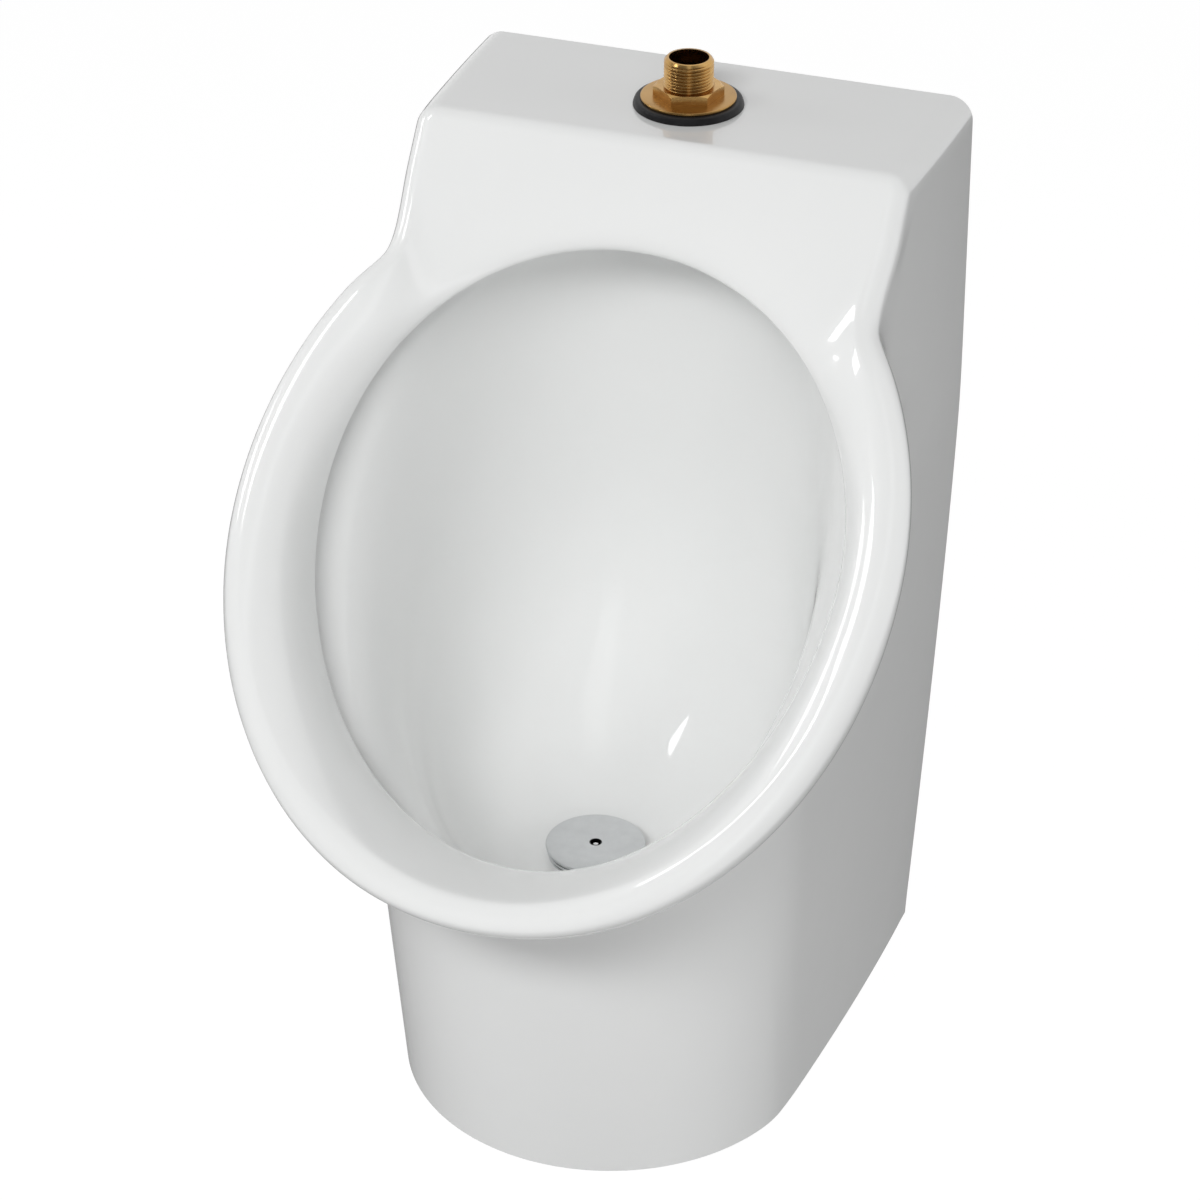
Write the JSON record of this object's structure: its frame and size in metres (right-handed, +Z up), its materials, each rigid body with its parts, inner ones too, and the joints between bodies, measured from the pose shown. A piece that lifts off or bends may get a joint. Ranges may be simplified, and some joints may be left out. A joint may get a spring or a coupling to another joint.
{
  "type": "wall-hung urinal",
  "caption": "Wall-hung white china urinal with an oval rolled rim and open bowl, brass top inlet spud, round bowl strainer, rear outlet flange and wall hangers.",
  "frame": {"origin": "middle of the back at the lowest edge, on the wall plane", "axes": "+X to the right seen from the front, +Y towards the wall, +Z up"},
  "size_m": [0.3558, 0.3972, 0.5601],
  "materials": {
    "glazed_china": "clear gloss glaze over white vitreous china",
    "spud_brass": "cast and threaded",
    "spud_rubber": "matte black",
    "ring_brass": "stamped, dull",
    "nut_brass": "turned, dull",
    "strainer_steel": "satin",
    "screw_steel": "bright",
    "outlet_rubber": "matte black",
    "flange_iron": "coated, matte",
    "fastener_steel": "zinc plated",
    "hanger_steel": "zinc plated"
  },
  "bodies": {
    "urinal": {"china_body": "glazed_china", "spud_tube": "spud_brass", "spud_gasket": "spud_rubber", "spud_friction_ring": "ring_brass", "spud_locknut": "nut_brass", "strainer_base": "strainer_steel", "outlet_gasket": "outlet_rubber", "outlet_flange": "flange_iron", "outlet_bolts": "fastener_steel", "outlet_washers": "fastener_steel", "outlet_nuts": "fastener_steel", "wall_hanger_left": "hanger_steel", "wall_hanger_right": "hanger_steel"},
    "strainer": {"strainer_slotted_ring": "strainer_steel", "strainer_cover": "strainer_steel"},
    "strainer_screw": {"strainer_screw": "screw_steel"}
  },
  "joints": [
    {"name": "strainer_lift", "type": "slide", "parent": "urinal", "child": "strainer", "axis": [0, 0, 1], "range_m": [0, 0.12]},
    {"name": "strainer_screw_turn", "type": "hinge", "parent": "strainer", "child": "strainer_screw", "pos_m": [0, -0.2014, 0.15], "axis": [0, 0, 1], "continuous": true}
  ]
}
